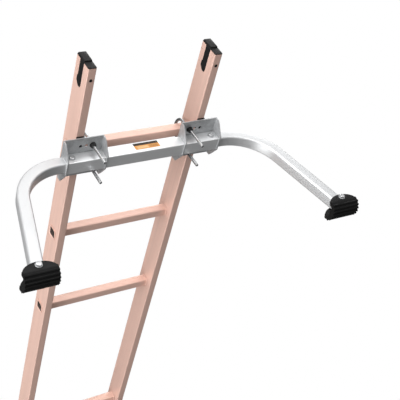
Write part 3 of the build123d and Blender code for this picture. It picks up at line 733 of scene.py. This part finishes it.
def spring_shell(sizes, node):
    """A compression spring: round wire on a helix whose rise eases to nearly nothing over each
    end turn, so that the ends lie flat."""
    low, high, middle = box_of(node)
    wire, radius = sizes.spring_wire, sizes.spring_radius
    t = np.linspace(0, 1, int(sizes.spring_turns * 22))
    turn = 2 * math.pi * sizes.spring_turns * t
    end, tall = 1.0 / sizes.spring_turns, high.z - low.z - 2 * wire
    coiled = wire * 2.1 / tall
    rise = (coiled * np.clip(t / end, 0, 1)
            + (1 - 2 * coiled) * np.clip((t - end) / (1 - 2 * end), 0, 1)
            + coiled * np.clip((t - 1 + end) / end, 0, 1))
    across = np.stack([np.cos(turn), np.sin(turn), turn * 0], -1)
    centres = across * radius + np.array([middle.x, middle.y, low.z + wire])
    centres[:, 2] += rise * tall
    angle = np.arange(10) * 2 * math.pi / 10
    return swept_shell(centres, across, UP, np.stack([np.cos(angle), np.sin(angle)], -1) * wire)


# ---- stand-off shapes ----
def square_tube(size, wall, corner, inner_corner, steps):
    """The outer and the inner outline of a square tube."""
    inside = size - 2 * wall
    return (rounded_rectangle(size, size, corner, steps),
            rounded_rectangle(inside, inside, inner_corner, steps))


def bar_shell(s):
    """The crossbar: a square tube straight along X."""
    low, high, middle = box_of("standoff_bar")
    x = np.linspace(low.x, high.x, 9)
    centres = np.stack([x, x * 0 + middle.y, x * 0 + middle.z], -1)
    sections = square_tube(s.bar, s.bar_wall, s.bar_corner, 1.2 * MM, 7)
    return hollow_shell(centres, (0.0, 1.0, 0.0), UP, *sections, 0.4 * MM)


def arm_path(s, side):
    """An arm's centre line and its sideways direction: straight, a circular bend, straight."""
    _, bar_high, middle = box_of("standoff_bar")
    start, bend = bar_high.x - s.arm_tuck, bar_high.x + s.arm_straight
    turn = np.linspace(0, s.arm_turn, 33)
    arc = np.stack([bend + s.arm_bend * np.sin(turn), s.arm_bend * (np.cos(turn) - 1)], -1)
    heading = np.array([math.cos(s.arm_turn), -math.sin(s.arm_turn)])
    run = arc[-1] + heading * np.array([[0.33], [0.66], [1.0]]) * (s.arm_run + s.arm_tail)
    plan = np.concatenate([[[start, 0], [(start + bend) / 2, 0]], arc, run])
    angle = np.concatenate([[0, 0], turn, [s.arm_turn] * 3])
    centres = np.stack([side * plan[:, 0], middle.y + plan[:, 1],
                        np.full(len(plan), middle.z)], -1)
    return centres, np.stack([side * np.sin(angle), np.cos(angle), angle * 0], -1)


def arm_shell(s, side):
    """An arm: a rounded square tube carried along its bent centre line."""
    centres, rights = arm_path(s, side)
    sections = square_tube(s.arm, s.arm_wall, s.arm_corner, s.arm_corner - s.arm_wall, 8)
    return hollow_shell(centres, rights, UP, *sections, 0.3 * MM)


def u_bolt_shell(s, node):
    """A U bolt: round sections, threaded near both tips, carried out along one leg, round a
    half circle and back along the other."""
    low, high, middle = box_of(node)
    radius = (high.z - low.z) / 2 - s.rod
    leg = high.y - s.rod - radius - low.y
    bend_end = leg + math.pi * radius
    total = leg + bend_end
    fine = np.arange(0.8 * MM, s.thread, s.pitch / 6)
    plain = np.array([s.thread + 1 * MM, leg * 0.9])
    along = np.concatenate([[0], fine, plain, np.linspace(leg, bend_end, 33),
                            total - plain[::-1], total - fine[::-1], [total]])
    turn = np.clip((along - leg) / radius, 0, math.pi)
    straight = np.where(along < leg, along, np.where(along > bend_end, total - along, leg))
    centres = np.stack([np.full(len(along), middle.x), low.y + straight + radius * np.sin(turn),
                        middle.z + radius * np.cos(turn)], -1)
    ups = np.stack([turn * 0, np.sin(turn), np.cos(turn)], -1)
    from_tip = np.minimum(along, total - along)
    sections = thread_section(from_tip, 0.7 * MM, s.thread, s.rod, s.pitch)
    sections[[0, -1]] *= 0.82
    return swept_shell(centres, (1.0, 0.0, 0.0), ups, sections)


def pad_shell(s, node):
    """A wall pad. Its section in Y and Z is a C whose front is an arc of radius R plus a ribbed
    wave: y = -(R + rib) cos a, z = (R + rib) sin a. The section is carried across X, and the
    C's arms reach back by half an ellipse of X, so each is a D in plan. Each section point is a
    share of the front line, a share of the back edge and a shift."""
    low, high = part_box(node)
    x_mid, z_mid = (low.x + high.x) / 2, (low.z + high.z) / 2
    half, tall, jaw = (high.x - low.x) / 2, (high.z - low.z) / 2, s.pad_jaw
    front = low.y + s.pad_rib
    bolt_y = front + s.pad_roll + 2.5 * MM
    shoulder = bolt_y - s.pad_shoulder
    reach = high.y - shoulder
    floor = bolt_y - s.pad_floor - front
    corner, lip, edge, edge_inset = 2.6 * MM, 1.6 * MM, 1.0 * MM, 0.7 * MM
    rib_half, rib_slope = 0.105, 0.055  # angles at a rib's foot and over its flank
    arc = np.linspace(0, math.pi / 2, 5)
    sin, cos = np.sin(arc), np.cos(arc)
    sweep = math.asin(tall / s.pad_roll) * 0.985
    face = np.linspace(-sweep, sweep, 24 * s.pad_ribs + 1)
    wave = np.abs((face / s.pad_rib_step + 0.5) % 1.0 - 0.5) * s.pad_rib_step
    tooth = np.clip((rib_half - wave) / rib_slope, 0, 1)
    tooth = tooth * tooth * (3 - 2 * tooth) * s.pad_rib
    tooth *= np.abs(face) < s.pad_rib_step * s.pad_ribs / 2
    upper = [  # share of front, share of back, shift in y, z
        (0, 1, -corner + corner * sin, tall - corner + corner * cos),
        (0, 1, -lip + lip * cos, jaw + lip - lip * sin),
        (1, 0, floor + lip - lip * sin, jaw - lip + lip * cos),
    ]
    lower = [(of_front, of_back, y[::-1], -z[::-1]) for of_front, of_back, y, z in upper[::-1]]
    runs = [(1, 0, s.pad_roll * (1 - np.cos(face)), s.pad_roll * np.sin(face)), *upper, *lower]
    share_f, share_b, shift, z = (
        np.concatenate([np.broadcast_to(run[i], run[3].shape) for run in runs]) for i in range(4))
    plain = np.zeros(len(z) - len(face))
    out_y = np.concatenate([tooth * np.cos(face), plain])
    out_z = np.concatenate([tooth * np.sin(face), plain])
    x = np.sin(np.linspace(-1, 1, 41) * math.pi / 2) * (half - edge)
    back = shoulder + reach * np.sqrt(np.maximum(0, 1 - (x / half) ** 2))
    y = front * share_f + back[:, None] * share_b + shift - out_y
    rows = np.stack([y, np.broadcast_to(z + out_z, y.shape)], -1)
    angle = np.linspace(0, math.pi / 2, 4)[1:]
    inset, out = edge_inset * (1 - np.cos(angle)), edge * np.sin(angle)
    first = rows[:1] - outline_normals(rows[:1]) * inset[::-1, None, None]
    last = rows[-1:] - outline_normals(rows[-1:]) * inset[:, None, None]
    sections = np.concatenate([first, rows, last])
    stations = np.concatenate([x[0] - out[::-1], x, x[-1] + out])
    xs = np.broadcast_to(stations[:, None], sections.shape[:2])
    return grid_shell(np.stack([xs + x_mid, sections[..., 0], sections[..., 1] + z_mid], -1))


# Fasteners, in metres. A bolt's tip is measured from its nut's seat.
FLATS, NUT_HEIGHT, HEAD_HEIGHT = 13 * MM, 6.8 * MM, 5.0 * MM
WASHER_RADIUS, WASHER, BOLT_WASHER = 8.5 * MM, 1.6 * MM, 1.4 * MM
BOLT_TIP, BOLT_THREAD, ROD_HIDDEN = 9.8 * MM, 20 * MM, 0.5 * MM


def clamp_shells(s):
    """Washer and nut on each leg of both U bolts, seated against the bracket plates."""
    seat_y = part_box("u_bolt_nuts")[1].y
    shells = []
    for side in SIDES:
        low, high, middle = box_of(f"u_bolt_{side}")
        for z in (low.z + s.rod, high.z - s.rod):
            seat = np.array([middle.x, seat_y, z])
            shells.append(washer_shell(seat, TO_WALL, WASHER_RADIUS, s.rod, WASHER))
            shells.append(nut_shell(seat - [0, WASHER, 0], TO_WALL, FLATS, s.rod, NUT_HEIGHT))
    return shells


def upright_bolt_shells(s, x, y, low, high):
    """A hexagon bolt on end: washer and head above, rod through, washer-faced nut below."""
    top, foot = np.array([x, y, high]), np.array([x, y, low])
    return [washer_shell(top, UP, WASHER_RADIUS, s.rod, BOLT_WASHER),
            head_shell(top + [0, 0, BOLT_WASHER], UP, FLATS, HEAD_HEIGHT),
            rod_shell(top + [0, 0, ROD_HIDDEN], foot - [0, 0, BOLT_TIP], s.rod, s.pitch,
                      BOLT_THREAD),
            nut_shell(foot, DOWN, FLATS, s.rod, NUT_HEIGHT)]


# ---- operators ----
class LADDER_OT_stage(Operator):
    """Floor, soft studio lights, world and camera"""

    bl_idname = "ladder.stage"
    bl_label = "Stage"

    def execute(self, context):
        make_finishes(context.scene.ladder_colours)
        make_world(context.scene)
        make_floor()
        make_lights()
        make_camera(context.scene)
        return {"FINISHED"}


class LADDER_OT_rails(Operator):
    """Finish of the four rails and the rivets in them"""

    bl_idname = "ladder.rails"
    bl_label = "Rails"

    def execute(self, context):
        dress("rail_rose", *[f"{part}_rail_{side}" for part in ("base", "fly") for side in SIDES])
        dress("rivet_steel", "base_guide_rivets", "fly_guide_rivets")
        dress("cap_black", "fly_cap_rivets")
        return {"FINISHED"}


class LADDER_OT_rungs(Operator):
    """All rungs, with ribbed treads, beads and flared ends"""

    bl_idname = "ladder.rungs"
    bl_label = "Rungs"

    def execute(self, context):
        sizes = context.scene.ladder_sizes
        for node in RUNGS:
            body = "base_section" if node.startswith("base") else "fly_section"
            made = piece(node, "tube", [rung_shell(sizes, node)], "rung_rose", body, sharp=50.0)
            # the inside of each rung gets painted shade
            paint_rung_inside_shade(made.data, np.array(box_of(node)[2]), sizes)
        return {"FINISHED"}


class LADDER_OT_caps(Operator):
    """Moulded end caps and foot plugs"""

    bl_idname = "ladder.caps"
    bl_label = "Caps"

    def execute(self, context):
        for side in SIDES:
            for part, shells in (("fly", fly_cap_shells), ("base", base_cap_shells)):
                node = f"{part}_cap_{side}"
                piece(node, "moulding", shells(context.scene.ladder_sizes, node), "cap_black",
                      f"{part}_section")
        softened("fly_foot_plugs", "moulding", "cap_black")
        return {"FINISHED"}


class LADDER_OT_guides(Operator):
    """Guide straps between the two sections"""

    bl_idname = "ladder.guides"
    bl_label = "Guides"

    def execute(self, context):
        for side in SIDES:
            for part in ("base", "fly"):
                softened(f"{part}_guide_{side}", "strap", "guide_steel", f"{part}_section")
        return {"FINISHED"}


class LADDER_OT_locks(Operator):
    """Rung locks: brackets, pins, pawls and springs"""

    bl_idname = "ladder.locks"
    bl_label = "Rung locks"

    def execute(self, context):
        softened("lock_pins", "turned", "fastener_zinc", width=0.4 * MM)
        for side in SIDES:
            softened(f"lock_bracket_{side}", "plate", "guide_steel")
            softened(f"lock_pawl_{side}", "casting", "pawl_cast", f"lock_{side}", 0.8 * MM)
            node = f"lock_spring_{side}"
            _, high, middle = box_of(node)
            spring = piece(node, "coil", [spring_shell(context.scene.ladder_sizes, node)],
                           "spring_steel")
            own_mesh(spring)
        return {"FINISHED"}


class LADDER_OT_shoes(Operator):
    """Swivel shoes with their soles, bolts and nuts"""

    bl_idname = "ladder.shoes"
    bl_label = "Shoes"

    def execute(self, context):
        for side in SIDES:
            body = f"shoe_{side}"
            softened(body, "pressing", "shoe_aluminium", body, 0.6 * MM)
            softened(f"shoe_sole_{side}", "tread", "sole_rubber", body, 0.6 * MM)
        dress("rivet_steel", "sole_rivets_left", "sole_rivets_right")
        dress("fastener_zinc", "shoe_bolts", "shoe_nuts")
        return {"FINISHED"}


class LADDER_OT_bar(Operator):
    """Crossbar of the stand-off"""

    bl_idname = "ladder.bar"
    bl_label = "Crossbar"

    def execute(self, context):
        shell = bar_shell(context.scene.standoff_sizes)
        piece("standoff_bar", "tube", [shell], "bar_aluminium")
        return {"FINISHED"}


class LADDER_OT_arms(Operator):
    """Bent arms and the bolts that hold them"""

    bl_idname = "ladder.arms"
    bl_label = "Arms"

    def execute(self, context):
        s = context.scene.standoff_sizes
        for name, side in SIDES.items():
            piece(f"arm_{name}", "tube", [arm_shell(s, side)], "arm_aluminium")
        for node in ("arm_bolts", "pad_bolts"):
            low, high, middle = box_of(node)
            shells = []
            for side in SIDES.values():
                shells += upright_bolt_shells(
                    s, side * (high.x - WASHER_RADIUS), middle.y, low.z + BOLT_TIP,
                    high.z - BOLT_WASHER - HEAD_HEIGHT)
            piece(node, "turned", shells, "fastener_zinc", sharp=30.0)
        return {"FINISHED"}


class LADDER_OT_brackets(Operator):
    """Bent brackets and the rubber strips behind them"""

    bl_idname = "ladder.brackets"
    bl_label = "Brackets"

    def execute(self, context):
        for side in SIDES:
            softened(f"bar_bracket_{side}", "pressing", "bracket_zinc", fold=3.4 * MM)
            softened(f"bracket_rubber_{side}", "strip", "pad_rubber", width=0.8 * MM)
        return {"FINISHED"}


class LADDER_OT_clamps(Operator):
    """U bolts round the top rung, with their washers and nuts"""

    bl_idname = "ladder.clamps"
    bl_label = "Clamps"

    def execute(self, context):
        s = context.scene.standoff_sizes
        for side in SIDES:
            node = f"u_bolt_{side}"
            piece(node, "rod", [u_bolt_shell(s, node)], "u_bolt_zinc", sharp=60.0)
        # the clamp nuts and washers are near black, painted shade for the shadow round the rods'
        # feet
        piece("u_bolt_nuts", "turned", clamp_shells(s), "clamp_nut_dark", sharp=30.0)
        return {"FINISHED"}


class LADDER_OT_pads(Operator):
    """Ribbed rubber wall pads"""

    bl_idname = "ladder.pads"
    bl_label = "Wall pads"

    def execute(self, context):
        for side in SIDES:
            node = f"wall_pad_{side}"
            shell = pad_shell(context.scene.standoff_sizes, node)
            piece(node, "moulding", [shell], "pad_rubber", f"pad_{side}", sharp=50.0)
        return {"FINISHED"}


LABEL_SIZE, LABEL_SHIFT = (72 * MM, 24 * MM), (9 * MM, 4 * MM)
LABEL_THICK, LABEL_SUNK, LABEL_EDGE = 0.22 * MM, 0.02 * MM, 0.08 * MM


class LADDER_OT_label(Operator):
    """Plain label on top of the crossbar"""

    bl_idname = "ladder.label"
    bl_label = "Label"

    def execute(self, context):
        _, high, middle = box_of("standoff_bar")
        centre = (LABEL_SHIFT[0], middle.y + LABEL_SHIFT[1])
        field = tuple(context.scene.ladder_colours.orange)
        finishes["label_print"] = label_print("label_print", field, centre, LABEL_SIZE)
        shell = plate_shell(rounded_rectangle(*LABEL_SIZE, 2 * MM), high.z - LABEL_SUNK,
                            high.z + LABEL_THICK, LABEL_EDGE, upward(*centre), 2)
        settle("standoff_label", skin("standoff_label", [shell]), "label_print", "fly_section")
        return {"FINISHED"}


# ---- stage ----
WORLD_TOP, WORLD_LEFT, WORLD_BASE = 0.66, 0.68, 0.088
FLOOR_GREY = 0.14


def make_world(scene):
    """White to the camera. As a light it is bright from above and from the left, dim from the
    wall side."""
    world = Finish("", bpy.data.worlds.new("Studio"))
    scene.world = world.holder
    parts = world.node("SeparateXYZ", {}, {0: world.wire("TexCoord", output="Generated")})
    across, _, up = (Wire(world, socket) for socket in parts.outputs)
    light = (up.between(0.0, 1.0, WORLD_TOP) + across.between(0.2, -1.0, WORLD_LEFT)
             + WORLD_BASE)
    seen = world.wire("LightPath", output="Is Camera Ray")
    strength = world.wire("Mix", {}, {0: seen, 2: light, 3: 1.0})
    world.end(world.wire("Background", {}, {"Color": (1.0, 1.0, 1.0), "Strength": strength}),
              "OutputWorld")


def make_floor():
    """A wide flat floor, white to the camera and duller to everything that it lights."""
    floor = Finish("floor_paper")
    seen = floor.wire("Emission", {}, {"Strength": 1.0})
    felt = floor.wire("BsdfDiffuse", {}, {"Color": (FLOOR_GREY,) * 3})
    to_camera = floor.wire("LightPath", output="Is Camera Ray")
    floor.end(floor.wire("MixShader", {}, {0: to_camera, 1: felt, 2: seen}))
    reach = 30.0
    mesh = bpy.data.meshes.new("floor")
    mesh.from_pydata([(-reach, -reach, 0), (reach, -reach, 0), (reach, reach, 0),
                      (-reach, reach, 0)], [], [(0, 1, 2, 3)])
    mesh.materials.append(floor.holder)
    placed("floor", mesh)


LIGHTS = {  # place, aim, size, watts
    "key_left": ((-4.2, -0.6, 5.2), (0.0, 0.0, 3.3), 2.4, 150.0),
    "top": ((0.3, 0.8, 7.0), (0.0, 0.0, 3.6), 2.6, 72.0),
    "fill_back": ((2.5, 3.4, 4.6), (0.0, 0.0, 2.6), 2.4, 60.0),
    "low_left": ((-3.4, -1.4, 1.6), (0.0, 0.0, 1.9), 2.4, 62.0),
}


def make_lights():
    """Large square soft lights, each aimed at the ladder."""
    for name, (place, aim, size, watts) in LIGHTS.items():
        data = bpy.data.lights.new(name, "AREA")
        data.shape, data.size, data.energy = "SQUARE", size, watts
        lamp = placed(name, data)
        lamp.location = place
        lamp.rotation_mode = "QUATERNION"
        lamp.rotation_quaternion = (Vector(aim) - Vector(place)).to_track_quat("-Z", "Y")


CAMERA_PLACE = (-1.09798, -1.54978, 5.14378)
CAMERA_RIGHT = (0.84490037, -0.48243523, 0.23106891)
CAMERA_UP = (0.16985982, 0.65158556, 0.73931559)
CAMERA_LENS = 83.406
CAMERA_SHIFT = (-0.01975, -0.022)


def make_camera(scene):
    """A long lens above and to the left, rolled so that the ladder leans."""
    data = bpy.data.cameras.new("camera")
    data.lens, data.sensor_width = CAMERA_LENS, 36.0
    data.shift_x, data.shift_y = CAMERA_SHIFT
    data.clip_start, data.clip_end = 0.05, 200.0
    camera = placed("camera", data)
    right, up = Vector(CAMERA_RIGHT).normalized(), Vector(CAMERA_UP).normalized()
    turn = Matrix((right, up, right.cross(up))).transposed().to_4x4()
    camera.matrix_world = Matrix.Translation(CAMERA_PLACE) @ turn
    scene.camera = camera
    scene.view_settings.view_transform = "Standard"


STEPS = (LADDER_OT_stage, LADDER_OT_rails, LADDER_OT_rungs, LADDER_OT_caps, LADDER_OT_guides,
         LADDER_OT_locks, LADDER_OT_shoes, LADDER_OT_bar, LADDER_OT_arms, LADDER_OT_brackets,
         LADDER_OT_clamps, LADDER_OT_pads, LADDER_OT_label)


class LADDER_PT_build(Panel):
    """Lists the ladder's building steps"""

    bl_idname = "LADDER_PT_build"
    bl_label = "Extension ladder"
    bl_space_type = "VIEW_3D"
    bl_region_type = "UI"
    bl_category = "Ladder"

    def draw(self, context):
        for step in STEPS:
            self.layout.operator(step.bl_idname)
        for group in GROUPS:
            settings = getattr(context.scene, group)
            box = self.layout.box()
            for key in settings.__annotations__:
                box.prop(settings, key)


GROUPS = {"ladder_sizes": LadderSizes, "standoff_sizes": StandoffSizes,
          "ladder_colours": LadderColours}
CLASSES = (*GROUPS.values(), *STEPS, LADDER_PT_build)


def register():
    for cls in CLASSES:
        bpy.utils.register_class(cls)
    for key, group in GROUPS.items():
        setattr(bpy.types.Scene, key, PointerProperty(type=group))


def unregister():
    for key in GROUPS:
        delattr(bpy.types.Scene, key)
    for cls in reversed(CLASSES):
        bpy.utils.unregister_class(cls)


def main():
    """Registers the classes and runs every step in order."""
    register()
    for step in STEPS:
        getattr(bpy.ops.ladder, step.bl_idname.split(".")[1])()


if __name__ == "__main__":
    main()
